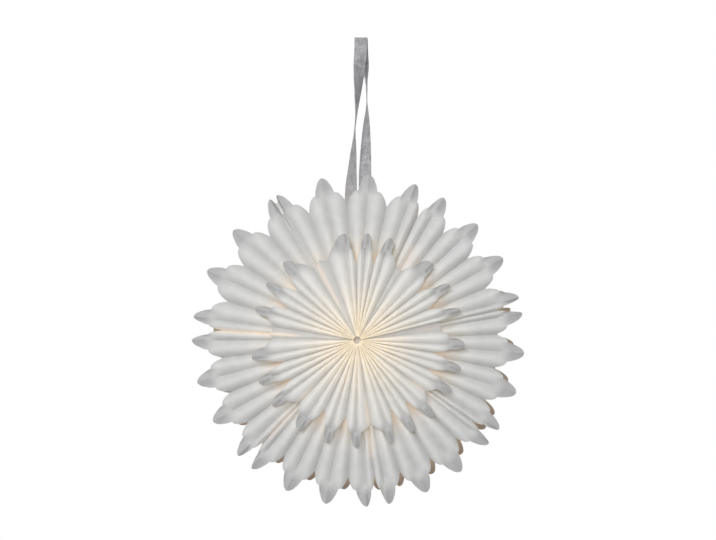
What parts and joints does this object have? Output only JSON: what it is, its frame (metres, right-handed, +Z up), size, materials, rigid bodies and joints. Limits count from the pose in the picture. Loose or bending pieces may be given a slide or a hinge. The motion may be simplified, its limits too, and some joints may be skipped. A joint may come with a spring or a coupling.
{
  "type": "pleated paper star pendant",
  "caption": "Double-sided pleated paper star lantern with scalloped petals, hung on a twisted grey ribbon loop and lit warm from inside by a battery lamp.",
  "frame": {"origin": "inner top of the ribbon loop, where it hangs on its hook", "axes": "+Z up, front of the star faces -Y, +X to the right seen from the front"},
  "size_m": [0.4, 0.1116, 0.5851],
  "materials": {
    "paper_white": "matte uncoated white paper, pleated and die-cut, lets the light through",
    "card_white": "matte white card",
    "ribbon_grey": "speckled grey felt ribbon, matte",
    "bar_steel": "plain drawn steel rod",
    "plastic_white": "fine moulded texture",
    "diffuser_milk": "milky, lit from behind",
    "board_white": "white solder mask",
    "emitter_warm": "yellow emitter face, lit",
    "contact_steel": "nickel-plated spring strip",
    "cell_wrap": "plain grey cell wrap",
    "screw_steel": "zinc-plated",
    "switch_black": "fine moulded texture",
    "pad_white": "thin foam adhesive pad"
  },
  "bodies": {
    "ribbon": {"ribbon_loop": "ribbon_grey", "ribbon_bar": "bar_steel"},
    "star": {"front_large_panel_1": "paper_white", "front_small_panel_1": "paper_white", "rear_large_panel_1": "paper_white", "rear_small_panel_1": "paper_white", "front_large_panel_2": "paper_white", "front_small_panel_2": "paper_white", "rear_large_panel_2": "paper_white", "rear_small_panel_2": "paper_white", "front_large_panel_3": "paper_white", "front_small_panel_3": "paper_white", "rear_large_panel_3": "paper_white", "rear_small_panel_3": "paper_white", "front_large_panel_4": "paper_white", "front_small_panel_4": "paper_white", "rear_large_panel_4": "paper_white", "rear_small_panel_4": "paper_white", "front_large_panel_5": "paper_white", "front_small_panel_5": "paper_white", "rear_large_panel_5": "paper_white", "rear_small_panel_5": "paper_white", "front_large_panel_6": "paper_white", "front_small_panel_6": "paper_white", "rear_large_panel_6": "paper_white", "rear_small_panel_6": "paper_white", "front_large_panel_7": "paper_white", "front_small_panel_7": "paper_white", "rear_large_panel_7": "paper_white", "rear_small_panel_7": "paper_white", "seam_card_1": "card_white", "seam_card_2": "card_white", "seam_card_3": "card_white", "seam_card_4": "card_white", "seam_card_5": "card_white", "seam_card_6": "card_white", "end_card_lower": "card_white", "end_card_upper": "card_white", "front_backing_ring": "card_white", "rear_backing_ring": "card_white", "front_centre_disc": "card_white", "rear_collar": "card_white", "lamp_sleeve": "card_white", "hanger_bridge": "card_white", "closing_pads": "pad_white", "hanger_bracket": "plastic_white"},
    "lamp": {"pod_housing": "plastic_white", "door_hinge_pin": "bar_steel", "spring_contacts": "contact_steel", "button_contact": "contact_steel", "battery_cells": "cell_wrap", "led_board": "board_white", "led_emitters": "emitter_warm", "board_screws": "screw_steel", "diffuser_dome": "diffuser_milk", "switch_body": "switch_black"},
    "door": {"battery_door": "plastic_white", "door_contacts": "contact_steel"},
    "knob": {"switch_knob": "switch_black"}
  },
  "joints": [
    {"name": "swing", "type": "hinge", "parent": "ribbon", "child": "star", "pos_m": [0, 0, -0.2512], "axis": [1, 0, 0], "range_deg": [-18, 18]},
    {"name": "lamp_slide", "type": "slide", "parent": "star", "child": "lamp", "axis": [0, 1, 0], "range_m": [0, 0.08]},
    {"name": "door_hinge", "type": "hinge", "parent": "lamp", "child": "door", "pos_m": [0, 0.04485, -0.394], "axis": [-1, 0, 0], "range_deg": [0, 95]},
    {"name": "switch_slide", "type": "slide", "parent": "lamp", "child": "knob", "axis": [1, 0, 0], "range_m": [0, 0.004]}
  ]
}
